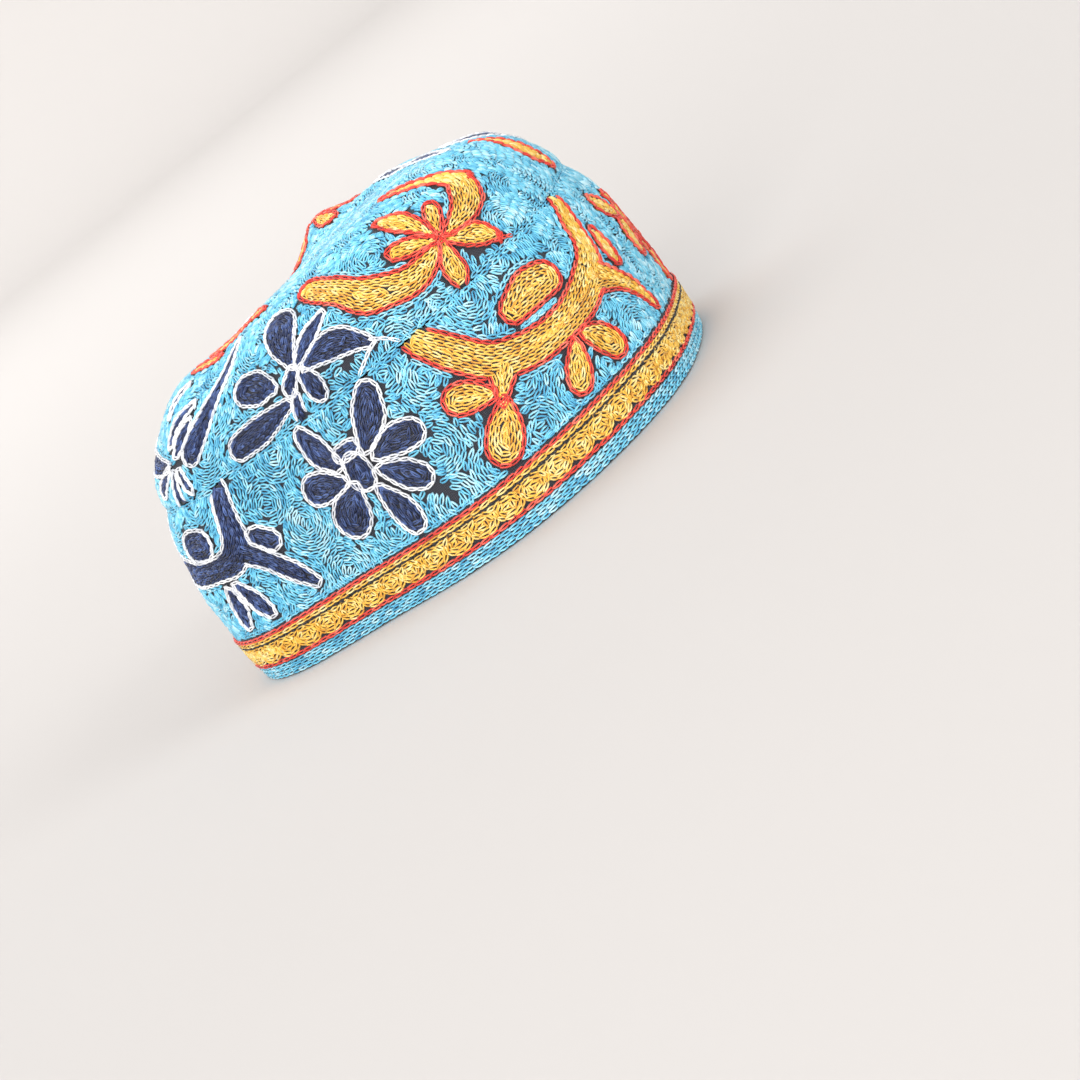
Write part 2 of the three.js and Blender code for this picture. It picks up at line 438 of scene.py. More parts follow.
# %% The crown's cloth
def crown_cloth():
    """Rings of points from the edge to the middle outside, and back to the edge inside."""
    rings = CROWN_RINGS
    radius = CROWN_DISC * np.linspace(1, 0.01, rings)
    radius = np.concatenate([radius, radius[::-1]])[:, None]
    depth = np.repeat([CLOTH_DEPTH, CLOTH_DEPTH + CLOTH_THICKNESS], rings)[:, None]
    bearing = (np.arange(AROUND) * 2 * np.pi / AROUND)[None]
    x, y = radius * np.cos(bearing), radius * np.sin(bearing)
    points = on_crown(x, y, -np.broadcast_to(depth, x.shape))
    side = wrapped_faces(rings, AROUND, wrap_rows=False)
    edge = np.arange(AROUND)
    rim = [edge, (2 * rings - 1) * AROUND + edge]
    rim = np.stack([rim[0], rim[1], np.roll(rim[1], -1), np.roll(rim[0], -1)], axis=-1)
    faces = np.concatenate([side, side + rings * AROUND, rim])
    flat = np.stack([x.ravel(), y.ravel()], axis=-1)
    points = points.reshape(-1, 3)
    piece = mesh_object("crown_cloth", points, faces, CHARCOAL_COTTON, flat[faces])
    close_poles(piece)
    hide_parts("crown")
    return piece


def close_poles(piece):
    """Fill the two small holes left in the middle of the crown's faces."""
    mesh = bmesh.new()
    mesh.from_mesh(piece.data)
    bmesh.ops.holes_fill(mesh, edges=[edge for edge in mesh.edges if edge.is_boundary], sides=0)
    bmesh.ops.recalc_face_normals(mesh, faces=mesh.faces)
    mesh.to_mesh(piece.data)
    mesh.free()


crown_shell = crown_cloth()
print("crown cloth:", len(crown_shell.data.polygons), "faces")

# %% [markdown]
# ## One loop of chain stitch
# A chain stitch is a loop of thread that starts inside the loop before it. Its line is a drop:
# along it goes -cos t, across it sin t, wider towards its far end. Near its nose the thread rides
# over the end of the last loop, and its own far end lies low, under the next loop's nose. The
# thread itself is a small tube around that line. A loop has eight steps and three sides, one corner
# up, and smooth shading rounds it, so even sixteen thousand of them stay light.

# %% A loop and how it is sewn
LOOP_STEPS, THREAD_SIDES = 8, 3
# Painted highlight and shade: each loop is painted lighter at its nose, which rides on top, and darker at
# its far end, which dives under the next loop.
STREAK, DIVE_PAINTED_SHADE = 0.17, -0.35  # how a loop's own thread varies, and darkens where it dives under


def loop_shape(length, width, thread, lift):
    """Points of one loop (along, across, up): a tube around the drop, step by step, side by side."""
    t = (np.arange(LOOP_STEPS) * 2 * np.pi / LOOP_STEPS)[:, None]
    along = -np.cos(t) * (length / 2 - thread)
    across = np.sin(t) * (width / 2 - thread) * (0.88 - 0.32 * np.cos(t))
    run = np.stack([np.roll(along, -1) - np.roll(along, 1), np.roll(across, -1) - np.roll(across, 1)])
    run = run / np.linalg.norm(run, axis=0)
    around = (0.25 + np.arange(THREAD_SIDES) / THREAD_SIDES)[None] * 2 * np.pi  # one corner on top
    along_p = along + run[1] * thread * np.cos(around)
    across_p = across - run[0] * thread * np.cos(around)
    up = thread * 0.9 * np.sin(around) + lift * (0.4 + 0.7 * np.cos(t) - 0.9 * np.cos(t) ** 2)
    return np.stack(np.broadcast_arrays(along_p, across_p, up), axis=-1).reshape(-1, 3)


def sew(name, surface, stitches, loop, height, material):
    """Lay a loop at every stitch (x, y, angle, stretch, shade, rise), bent onto the surface."""
    x, y, angle, stretch, shade, rise = (column[:, None] for column in np.asarray(stitches).T)
    local = loop_shape(**loop)
    along, across = local[:, 0] * stretch, local[:, 1]
    at_x = x + along * np.cos(angle) - across * np.sin(angle)
    at_y = y + along * np.sin(angle) + across * np.cos(angle)
    points = surface(at_x, at_y, height + rise + local[:, 2] + 0 * at_x)
    ring = wrapped_faces(LOOP_STEPS, THREAD_SIDES, wrap_rows=True)[:, ::-1]
    faces = (ring[None] + (np.arange(len(x)) * len(local))[:, None, None]).reshape(-1, 4)
    corner_uv = np.stack([ring // THREAD_SIDES, ring % THREAD_SIDES], axis=-1).astype(float)
    last_step = (corner_uv[:, :, 0].max(axis=1) > 1)[:, None]
    corner_uv[:, :, 0] += LOOP_STEPS * (corner_uv[:, :, 0] == 0) * last_step
    uv = np.broadcast_to(corner_uv * 0.5, (len(x),) + corner_uv.shape)
    streaks = rng.normal(0, STREAK, (len(x), LOOP_STEPS)).repeat(THREAD_SIDES, axis=1)
    # Painted highlight at each loop's nose and painted shade at its far end, on a tone that differs at
    # random along the loop.
    shades = shade + streaks + DIVE_PAINTED_SHADE * local[:, 0] / loop["length"]
    return mesh_object(name, points.reshape(-1, 3), faces, material, uv, "thread", shades)


FILL_LOOP = dict(length=4.5, width=2.05, thread=0.43, lift=0.34)
FINE_LOOP = dict(length=4.2, width=1.6, thread=0.38, lift=0.3)
RED_LOOP = dict(length=4.5, width=1.85, thread=0.39, lift=0.34)
WHITE_LOOP = dict(length=4.3, width=1.7, thread=0.38, lift=0.3)
ROW_PITCH = 1.8
FILL_ADVANCE = 3.1
print("loop:", LOOP_STEPS * THREAD_SIDES, "quads")

# %% [markdown]
# ## Ornament as limbs
# Every petal, arm and crescent is a limb: a line through a few named points, each with a half
# width. That one form gives all that is needed: how far a point of the cloth is from the ornament,
# and the closed line at any distance inside or outside its edge. Rows of chain follow those lines,
# inside for the fill, on the edge for the outline, and outside for the first rows of ground.
# Limbs with the same letter are one shape and share an outline; other limbs are outlined singly.

# %% Limbs
LEAST_REACH = 0.25  # a closed line needs at least this much on each side of the limb's middle
MIDDLE_ROW = 0.7  # a middle row goes where more than this is left on each side


def smooth_limb(rows, spacing=0.7):
    """Points along a limb: a Catmull-Rom curve through its rows of x, y and half width."""
    rows = np.asarray(rows, dtype=float)
    ends = np.concatenate([[2 * rows[0] - rows[1]], rows, [2 * rows[-1] - rows[-2]]])
    a, b, c, d = ends[:-3], ends[1:-2], ends[2:-1], ends[3:]
    t = np.linspace(0, 1, 24, endpoint=False)[:, None, None]
    curve = 0.5 * (2 * b + (c - a) * t + (2 * a - 5 * b + 4 * c - d) * t**2 + (3 * b - a - 3 * c + d) * t**3)
    curve = np.concatenate([curve.transpose(1, 0, 2).reshape(-1, 3), rows[-1:]])
    length = np.concatenate([[0], np.cumsum(np.hypot(*np.diff(curve[:, :2], axis=0).T))])
    wanted = np.linspace(0, length[-1], max(4, int(length[-1] / spacing)))
    return np.stack([np.interp(wanted, length, column) for column in curve.T], axis=-1)


def limb_line(limb, offset):
    """The closed line at an offset outside the limb's edge: two sides and two round ends."""
    limb = limb[limb[:, 2] + offset > LEAST_REACH]
    if len(limb) < 2:
        return None
    run = np.gradient(limb[:, :2], axis=0)
    run /= np.linalg.norm(run, axis=1, keepdims=True)
    side = np.stack([-run[:, 1], run[:, 0]], axis=-1)
    reach = (limb[:, 2] + offset)[:, None]
    turn = np.linspace(0, np.pi, 14)[1:-1, None]

    def round_end(k, sign):
        return limb[k, :2] + sign * reach[k] * (np.cos(turn) * side[k] + np.sin(turn) * run[k])

    left, right = limb[:, :2] + side * reach, limb[:, :2] - side * reach
    return np.concatenate([left, round_end(-1, 1), right[::-1], round_end(0, -1)])


def distance_to(limb, x, y):
    """How far points are outside the limb's edge: the least distance to it less its half width."""
    gaps = np.hypot(x[:, None] - limb[:, 0], y[:, None] - limb[:, 1]) - limb[:, 2]
    return gaps.min(axis=1)


def chain_along(line, advance, closed=True):
    """Stitches (x, y, angle, stretch) an advance apart along a line of points."""
    if closed:
        line = np.concatenate([line, line[:1]])
    length = np.concatenate([[0], np.cumsum(np.hypot(*np.diff(line, axis=0).T))])
    count = int(round(length[-1] / advance))
    if count < (3 if closed else 1):
        return np.empty((0, 4))
    edges = np.linspace(0, length[-1], count + 1)
    x, y = (np.interp(edges, length, column) for column in line.T)
    step = length[-1] / count
    angle = np.arctan2(np.diff(y), np.diff(x))
    middle = np.stack([(x[1:] + x[:-1]) / 2, (y[1:] + y[:-1]) / 2], axis=-1)
    return np.column_stack([middle, angle, np.full(count, step / advance)])


# %% [markdown]
# ## The ornament's tables
# The ornament goes around the cap in four much alike quarters. On the band stands a forked branch
# with berries, then a flower. On the crown a crescent curls around a small flower, above each
# branch, and between two crescents stands a larger flower, or in one quarter a single leaf. The
# tables give each limb's letter and its points in millimetres, from the middle of the motif on the
# band, and from the middle of the crown's disc.

# %% Motif tables
BRANCH = (
    ("A", ((-40, 24, 3.9), (-33, 14, 5.0), (-25, 5, 5.0), (-12, 0, 4.8), (2, -1, 4.4), (14, 0, 5.2),
           (26, 3, 5.6))),
    ("A", ((24, 2, 5.5), (33, 8, 4.6), (38, 15, 4.0), (45, 23, 2.8))),
    ("A", ((24, 2, 5.2), (33, -3, 3.8), (40, -10, 3.0), (46, -19, 1.6))),
    ("A", ((-23, 3, 4.8), (-27, -1, 3.2), (-31, -6, 0.8))),
    ("B", ((-10, 11.5, 3.7), (0, 12.5, 5.2), (9, 11.5, 4.7))),
    ("C", ((46.5, 8.5, 2.4), (45.5, 4, 3.8), (44, 0, 3.0))),
    ("D", ((-41, 3.5, 4.2), (-37, 1.5, 4.2), (-32, -1.5, 2.0))),
    ("E", ((-30, -6, 1.8), (-34, -11, 5.0), (-38, -15.5, 5.4))),
    ("F", ((5, -7.5, 2.0), (10, -12, 4.6), (13, -15.5, 4.8))),
    ("G", ((0, -7.5, 1.6), (-3.5, -12.5, 4.2), (-6.5, -16, 4.2))),
)
SMALL_BRANCH = (
    ("A", ((14.5, 23, 3.2), (14, 14, 3.6), (12.5, 7, 4.2), (7, 2.5, 4.2), (-3, 2.5, 3.4), (-13, 3.5, 4.0))),
    ("A", ((-12, 3.5, 4.0), (-24, 7, 4.2), (-31, 14, 4.0), (-35, 22, 3.2))),
    ("A", ((12, 4, 3.6), (19, -3, 2.6), (25, -10.5, 2.7), (29, -16.5, 1.6))),
    ("B", ((-7.5, 12.5, 4.6), (-1.5, 11.5, 4.6))),
    ("C", ((20, 5.5, 2.6), (24, 1.5, 3.0))),
    ("D", ((-1.5, -5, 1.0), (-2.5, -12, 2.8), (-4, -17.5, 2.0))),
    ("E", ((2.5, -4.5, 1.0), (6, -12, 3.0), (8.5, -17, 2.0))),
    ("F", ((-29, 1, 2.0), (-38, 3, 4.2))),
    ("G", ((-27, -3, 1.6), (-33, -10, 4.4), (-36, -15, 4.6))),
)
BAND_FLOWER = (
    ("A", ((7, 6.5, 1.4), (13.5, 13, 4.6), (17.5, 18.5, 3.7))),
    ("B", ((8.5, 3, 1.3), (16, 3.5, 4.0), (21.5, 2.5, 3.8))),
    ("C", ((7, -1, 1.3), (12.5, -6, 4.0), (16, -9.5, 3.5))),
    ("D", ((2.5, -5.5, 1.2), (4.5, -13, 3.7), (5.5, -19, 3.5))),
    ("E", ((-4.5, -1.5, 1.8), (-9, -5.5, 5.4), (-12, -8.5, 6.0))),
    ("F", ((-7, 2, 1.6), (-13, 3.5, 4.2), (-18, 4.5, 4.5))),
    ("G", ((-12, 20, 2.4), (-9.5, 13.5, 4.3), (-5.5, 7.5, 2.2))),
    ("H", ((-2.5, 9, 2.0), (3.5, 9, 2.0))),
    ("I", ((0.5, 3.8, 4.0), (0, 0.2, 4.2))),
)
CRESCENT = (
    ("A", ((-6.5, -59, 3.8), (-3, -66, 4.2), (2, -74, 4.3), (6, -79.5, 5.4), (13, -82, 4.8), (21, -83, 4.2),
           (28, -80.5, 3.3), (34.5, -76, 1.4))),
    ("B", ((27, -41, 0.6), (35, -45.3, 1.6), (41, -48, 1.9), (47.5, -49.5, 4.0), (52, -52.5, 4.8),
           (51.5, -59, 5.0), (48.5, -65, 3.7), (43, -70, 2.0), (39, -73, 0.8))),
    ("B", ((50, -50, 3.2), (56, -48, 1.2))),
    ("B", ((52, -58, 3.0), (56.5, -59, 1.4))),
    ("C", ((21.5, -56.5, 0.9), (26.5, -61.5, 3.8), (31, -66.5, 2.8), (36, -72.5, 0.6))),
    ("D", ((39, -62, 2.2), (37.8, -66, 2.5), (37, -72.5, 0.6))),
    ("E", ((21, -72.7, 2.4), (26.5, -73, 2.8), (36, -73.7, 0.7))),
    ("F", ((37.5, -74, 0.6), (45, -74.5, 2.8), (51.5, -73.5, 4.0), (57.5, -75, 1.0))),
    ("G", ((37, -74.5, 0.6), (37, -79, 2.6), (36.8, -84, 4.4), (36.5, -87, 3.4))),
)
CROWN_FLOWER = (
    ("A", ((-27, -76.5, 1.2), (-24.5, -68, 5.0), (-21.5, -61.5, 6.4))),
    ("B", ((-25, -78, 1.0), (-16, -75, 2.8), (-8, -73, 1.2))),
    ("C", ((-24, -81, 1.0), (-15, -82.5, 3.9), (-8, -85.5, 3.8), (-1, -91.5, 1.2))),
    ("D", ((-45.5, -63, 4.8), (-42, -68, 5.2), (-38, -73.5, 2.0))),
    ("E", ((-28, -78, 1.6), (-34, -80, 2.6))),
    ("F", ((-26, -81.5, 1.6), (-26, -86, 3.6), (-26.5, -89, 3.5))),
    ("G", ((-39, -82, 1.4), (-53, -75.5, 4.0), (-64, -67.5, 3.7))),
    ("H", ((-34, -83, 1.2), (-38.5, -87, 2.2), (-41, -91, 1.8))),
)
SLIM_CRESCENT = (
    ("A", ((-6, -57, 2.0), (-4, -67, 3.6), (3, -75.5, 4.0), (14, -80.5, 3.4), (26, -80, 2.4),
           (34, -78, 1.2))),
    ("B", ((41.5, -34, 0.8), (44.5, -37.5, 1.2), (49, -43, 1.6), (50.5, -51, 2.4), (49.5, -60, 3.6),
           (46.5, -70, 4.4))),
    ("C", ((28, -53, 0.8), (27, -58, 1.1), (27, -64, 0.9))),
    ("D", ((39.5, -57, 0.8), (35, -64, 1.4), (34, -71, 1.2))),
    ("E", ((41.5, -62, 0.9), (40, -67.5, 2.2), (38.5, -73, 1.2))),
    ("F", ((39, -79, 0.9), (41, -84, 1.5), (42, -89, 1.6))),
    ("G", ((35, -79, 1.0), (30, -86, 2.6))),
    ("H", ((41.5, -77.5, 0.8), (48, -82, 1.2))),
)
GOLD_LEAVES = (
    ("A", ((-23, -40, 2.2), (-31, -31, 3.6), (-40, -20, 2.4))),
    ("B", ((-42, -30, 1.8), (-47.5, -20.5, 2.4))),
)
NAVY_STALK = (("A", ((34, 14, 2.2), (46, -5, 3.2), (54, -21, 2.2))),)
GOLD_LEAF = (("A", ((66, -14, 1.8), (80, -18, 4.6), (91, -15, 2.6))),)
TAILS = (  # piece, colour of the ornament, points: outline rows that run on past the ornament
    ("crown", "gold", ((55, -77), (59, -75), (63, -74))),
    ("crown", "gold", ((56.5, -74), (58, -79), (51, -84))),
    ("crown", "navy", ((-1, -91), (3, -93), (7, -96.5))),
    ("crown", "navy", ((0, -92), (-5, -94), (-12, -96.5))),
)
BARE_SPOTS = (  # piece, x, y, radius: small places where the stitching leaves the cloth bare
    ("crown", 46, -80, 1.9),
    ("crown", 49, -79, 1.5),
    ("crown", 13, -71, 0.5),
    ("crown", -13, -91, 1.2),
    ("crown", -10, -89, 0.6),
    ("crown", 43, -92, 1.2),
    ("band", -148, 28.5, 0.8),
    ("band", -147.5, 25.5, 1.2),
    ("band", -147, 22.5, 1.4),
    ("band", -125, 53, 0.6),
)
CROWN_MIDDLE = (9, 27, 0.85)  # x, y and size of a band flower near the top of the crown
BAND_MOTIFS = (  # table, colour, middle in x, middle in y, turn in degrees, size, letters left out
    (BRANCH, "gold", -88, 40, 0, 1, ""),
    (BAND_FLOWER, "navy", -167, 42, 0, 1, ""),
    (SMALL_BRANCH, "navy", -234, 40, 0, 1, ""),
    (BAND_FLOWER, "gold", 248, 42, 0, 0.92, ""),
    (BRANCH, "gold", 180, 40, 0, 0.88, ""),
    (BAND_FLOWER, "navy", 112.5, 42, 0, 0.92, ""),
    (SMALL_BRANCH, "navy", 64.5, 40, 0, 0.9, ""),
    (BAND_FLOWER, "gold", -2, 41, -20, 1, "G"),
)
CROWN_MOTIFS = (  # table, colour, turn in degrees about the middle of the disc, size, letters left out
    (CRESCENT, "gold", 0, 1, ""),
    (CROWN_FLOWER, "navy", 0, 1, ""),
    (SLIM_CRESCENT, "navy", -91, 1, ""),
    (CROWN_FLOWER, "gold", -95, 1, "D"),
    (CRESCENT, "gold", 178, 1, ""),
    (CROWN_FLOWER, "navy", 176, 1, "D"),
    (SLIM_CRESCENT, "navy", 93, 1, ""),
    (GOLD_LEAVES, "gold", 0, 1, ""),
    (NAVY_STALK, "navy", 0, 1, ""),
    (GOLD_LEAF, "gold", 0, 1, ""),
    (NAVY_STALK, "navy", 182, 0.8, ""),
)


def turned(rows, degrees, x, y, size=1.0):
    """A limb's rows, sized, turned about the origin and moved to (x, y)."""
    c, s = math.cos(math.radians(degrees)) * size, math.sin(math.radians(degrees)) * size
    along, up, half_width = np.array(rows, dtype=float).T
    return np.column_stack([x + along * c - up * s, y + along * s + up * c, half_width * size])


def motif_limbs(number, table, colour, place, left_out=""):
    """One motif's limbs as (motif, letter, colour, points)."""
    kept = [(letter, rows) for letter, rows in table if letter not in left_out]
    return [(number, letter, colour, smooth_limb(turned(rows, *place))) for letter, rows in kept]


def band_limbs():
    """Every limb on the band."""
    limbs = []
    for n, (table, colour, x, y, turn, size, left_out) in enumerate(BAND_MOTIFS):
        limbs += motif_limbs(n, table, colour, (turn, x, y, size), left_out)
    return limbs


def crown_limbs():
    """Every limb on the crown, turned about the middle of the disc, and the flower near the top."""
    x, y, size = CROWN_MIDDLE
    limbs = motif_limbs(len(CROWN_MOTIFS), BAND_FLOWER, "gold", (0, x, y, size))
    for n, (table, colour, turn, size, left_out) in enumerate(CROWN_MOTIFS):
        limbs += motif_limbs(n, table, colour, (turn, 0, 0, size), left_out)
    return limbs


BAND_LIMBS, CROWN_LIMBS = band_limbs(), crown_limbs()
print("limbs:", len(BAND_LIMBS), "on the band,", len(CROWN_LIMBS), "on the crown")

# %% [markdown]
# ## Which stitches stay
# Rows are laid generously and then thinned, as whole arrays. A row of fill belongs to the limb it
# lies deepest in. An outline stays where it isn't inside another limb of its own shape. The ground
# keeps clear of every outline: first one row that echoes the ornament, then swirls of rings around
# scattered seeds, where each stitch belongs to its nearest seed.

# %% Laying the rows
THREADS = {  # fill and outline: material, slot, loop, pitch or advance
    "gold": {
        "fill": (GOLD_RAYON, "gold_embroidery", FILL_LOOP, 1.7),
        "line": (RED_RAYON, "red_thread", RED_LOOP, 3.3),
        "offset": 0.2,
        "half": 0.9,
    },
    "navy": {
        "fill": (NAVY_RAYON, "navy_thread", FINE_LOOP, 1.35),
        "line": (WHITE_RAYON, "white_thread", WHITE_LOOP, 2.9),
        "offset": 0.5,
        "half": 0.75,
    },
}
SEED_SPACING = 18.0
FAR = 99.0  # stands for a distance to an ornament that is out of reach
REACH = 9.0  # how far around a limb its distance matters


def nearest(limbs, x, y, wraps):
    """Distance outside the nearest limb for each point, and that limb's number."""
    best = np.full(len(x), FAR)
    owner = np.full(len(x), -1)
    for n, (_, _, _, limb) in enumerate(limbs):
        middle = limb[:, :2].mean(axis=0)
        away = wrap_band(x - middle[0]) if wraps else x - middle[0]
        reach = np.hypot(*(limb[:, :2] - middle).T).max() + limb[:, 2].max() + REACH
        near = np.flatnonzero(np.hypot(away, y - middle[1]) < reach)
        if len(near):
            gap = distance_to(limb, away[near] + middle[0], y[near])
            closer = gap < best[near]
            best[near[closer]], owner[near[closer]] = gap[closer], n
    return best, owner


def outer_edge(limbs, owner):
    """How far outside a limb its outline ends, for each limb number."""
    edges = [THREADS[limb[2]]["offset"] + THREADS[limb[2]]["half"] for limb in limbs]
    return np.array(edges)[owner]


def fill_rows(limb, inset, pitch):
    """Rows inside a limb, a pitch apart from its edge inwards, and one along its line if a gap is left."""
    rows, offset = [], -inset
    while limb[:, 2].max() + offset > LEAST_REACH:
        line = limb_line(limb, offset)
        if line is not None:
            rows.append(chain_along(line, FILL_ADVANCE))
        offset -= pitch
    left = limb[:, 2] - inset
    thin = np.where(left > -MIDDLE_ROW, 1.0, 0.0)
    left = np.where(left > LEAST_REACH, (left - LEAST_REACH) % pitch + LEAST_REACH, thin)
    middle = chain_along(limb[:, :2], FILL_ADVANCE * 0.8, closed=False)
    if len(middle):
        at = np.hypot(middle[:, :1] - limb[:, 0], middle[:, 1:2] - limb[:, 1]).argmin(axis=1)
        rows.append(middle[left[at] > MIDDLE_ROW])
    return np.concatenate(rows) if rows else np.empty((0, 4))


def ornament_rows(limbs, wraps):
    """Fill and outline stitches by colour."""
    fills, outlines = {"gold": [], "navy": []}, {"gold": [], "navy": []}
    for n, (motif, letter, colour, limb) in enumerate(limbs):
        mates = [mate for m, mate in enumerate(limbs) if m != n and mate[:2] == (motif, letter)]
        thread = THREADS[colour]
        line = chain_along(limb_line(limb, thread["offset"]), thread["line"][3])
        inside = nearest(mates, line[:, 0], line[:, 1], wraps)[0]
        outlines[colour].append(line[inside > thread["offset"] - 0.3])
        pitch = thread["fill"][3]
        row = fill_rows(limb, thread["half"] - thread["offset"] + pitch * 0.25, pitch)
        if len(row):
            own = distance_to(limb, row[:, 0], row[:, 1])
            fills[colour].append(row[nearest(mates, row[:, 0], row[:, 1], wraps)[0] > own - 0.2])
    fills = {colour: np.concatenate(rows) for colour, rows in fills.items()}
    return fills, {colour: np.concatenate(rows) for colour, rows in outlines.items()}


def echo_rows(limbs, wraps, inside):
    """One ground row that follows the ornament just outside its outline."""
    rows = []
    for _, _, colour, limb in limbs:
        offset = THREADS[colour]["offset"] + THREADS[colour]["half"] + ROW_PITCH * 0.35
        row = chain_along(limb_line(limb, offset), FILL_ADVANCE)
        gap, owner = nearest(limbs, row[:, 0], row[:, 1], wraps)
        rows.append(row[(gap > outer_edge(limbs, owner) + 0.5) & inside(row)])
    return np.concatenate(rows)


def gaps_to(seeds, x, y, wraps):
    """Vectors from every seed to every point."""
    away = x[:, None] - seeds[:, 0]
    return (wrap_band(away) if wraps else away), y[:, None] - seeds[:, 1]


def swirl_rows(seeds, limbs, wraps, inside):
    """Rings of stitches around each seed, kept where the seed is nearest and the ground is free."""
    rows = []
    for n, (seed_x, seed_y) in enumerate(seeds):
        for radius in np.arange(0.9, SEED_SPACING, ROW_PITCH):
            count = max(2, int(round(2 * np.pi * radius / FILL_ADVANCE)))
            at = (np.arange(count) + rng.random()) * 2 * np.pi / count
            stretch = np.full(count, 2 * np.pi * radius / count / FILL_ADVANCE)
            x, y = seed_x + radius * np.cos(at), seed_y + radius * np.sin(at)
            rows.append(np.column_stack([x, y, at + np.pi / 2, stretch, np.full(count, n)]))
    rows = np.concatenate(rows)
    if wraps:
        rows[:, 0] = wrap_band(rows[:, 0])
    reach = np.hypot(*gaps_to(seeds, rows[:, 0], rows[:, 1], wraps))
    own = reach[np.arange(len(rows)), rows[:, 4].astype(int)]
    rows = rows[(own <= reach.min(axis=1) + 0.45) & inside(rows)]
    gap, owner = nearest(limbs, rows[:, 0], rows[:, 1], wraps)
    return rows[gap > outer_edge(limbs, owner) + ROW_PITCH * 1.3]


DARN_CELL = 0.7
DARN_BLOCK = (2.1, 1.5)  # at most one extra stitch in a block of this size
DARN_STRETCH = 0.8
STITCH_ALONG = (-1.8, -1.2, -0.6, 0, 0.6, 1.2, 1.8)  # points that stand for what a stitch covers
STITCH_ACROSS = (-0.8, -0.4, 0, 0.4, 0.8)


def bare_places(rows, low, high):
    """Middles of raster cells that no stitch covers, thinned to one for each stitch-sized block."""
    shape = np.ceil((np.subtract(high, low)) / DARN_CELL).astype(int)
    bare = np.ones(shape, dtype=bool)
    c, s = np.cos(rows[:, 2]), np.sin(rows[:, 2])
    for along in STITCH_ALONG:
        for across in STITCH_ACROSS:
            x = rows[:, 0] + along * c - across * s - low[0]
            y = rows[:, 1] + along * s + across * c - low[1]
            i = np.clip((x / DARN_CELL).astype(int), 0, shape[0] - 1)
            j = np.clip((y / DARN_CELL).astype(int), 0, shape[1] - 1)
            bare[i, j] = False
    i, j = np.nonzero(bare)
    x, y = low[0] + (i + 0.5) * DARN_CELL, low[1] + (j + 0.5) * DARN_CELL
    block = (x // DARN_BLOCK[0]).astype(int) * 10000 + (y // DARN_BLOCK[1]).astype(int)
    first = rng.permutation(len(x))
    first = first[np.unique(block[first], return_index=True)[1]]
    return x[first], y[first]


def darn_ground(rows, seeds, limbs, wraps, inside, low, high):
    """Extra ground stitches on bare places, along the ring of the nearest seed."""
    x, y = bare_places(rows, low, high)
    gap, owner = nearest(limbs, x, y, wraps)
    away = gaps_to(seeds, x, y, wraps)
    seed = np.hypot(*away).argmin(axis=1)
    angle = np.arctan2(away[1], away[0])[np.arange(len(x)), seed] + np.pi / 2
    rows = np.column_stack([x, y, angle, np.full(len(x), DARN_STRETCH)])
    return rows[(gap > outer_edge(limbs, owner) + 0.4) & inside(rows)]


def darn_ornament(rows, colour, limbs, wraps, low, high):
    """Extra fill stitches on bare places inside the limbs of a colour, along the limb."""
    x, y = bare_places(rows, low, high)
    gap, owner = nearest(limbs, x, y, wraps)
    inset = THREADS[colour]["half"] - THREADS[colour]["offset"]
    mine = np.array([limb[2] == colour for limb in limbs])[owner] & (gap < -inset - 0.35)
    x, y, owner = x[mine], y[mine], owner[mine]
    angle = np.zeros(len(x))
    for n in np.unique(owner):
        limb, at = limbs[n][3], np.flatnonzero(owner == n)
        away = wrap_band(x[at, None] - limb[:, 0]) if wraps else x[at, None] - limb[:, 0]
        run = np.gradient(limb[:, :2], axis=0)[np.hypot(away, y[at, None] - limb[:, 1]).argmin(axis=1)]
        angle[at] = np.arctan2(run[:, 1], run[:, 0])
    return np.column_stack([x, y, angle, np.full(len(x), DARN_STRETCH)])


SHADE_SPREAD, FAMILY_SPREAD = 0.18, 0.1  # from stitch to stitch, and from swirl to swirl
SLIP, TURN = 0.06, 0.04  # millimetres, radians


def by_hand(rows, middle=0.5, family=None):
    """The rows as a hand sews them: each stitch slips, turns and rises a little, and has its shade."""
    count = len(rows)
    shade = middle + rng.normal(0, SHADE_SPREAD, count)
    if family is not None:
        shade = shade + rng.normal(0, FAMILY_SPREAD, int(family.max()) + 1)[family.astype(int)]
    slip = rng.normal(0, SLIP, (count, 2))
    angle = rows[:, 2] + rng.normal(0, TURN, count)
    rise = rng.normal(0, SLIP, count)
    return np.column_stack([rows[:, :2] + slip, angle, rows[:, 3], np.clip(shade, 0.05, 0.95), rise])


# %% Ornament on both cloths
RED_LOW, RED_HIGH = 6.3, 16.5  # heights of the two red lines along the strip
GROUND_LOW = RED_HIGH + 1.5
FILL_HEIGHT, OUTLINE_HEIGHT = -0.55, -0.1


def inside_band(rows):
    """Rows above the strip and below the seam."""
    return (rows[:, 1] > GROUND_LOW) & (rows[:, 1] < BAND_HEIGHT - 0.6)


def inside_crown(rows):
    """Rows inside the crown's disc."""
    return np.hypot(rows[:, 0], rows[:, 1]) < CROWN_DISC - 0.9


def tail_rows(place, colour):
    """Outline stitches along the tails of one piece and colour, and none if it has no tails."""
    advance = THREADS[colour]["line"][3]
    tails = [np.array(points, dtype=float) for *owner, points in TAILS if owner == [place, colour]]
    rows = [chain_along(tail, advance, closed=False) for tail in tails]
    return np.concatenate([np.empty((0, 4))] + rows)


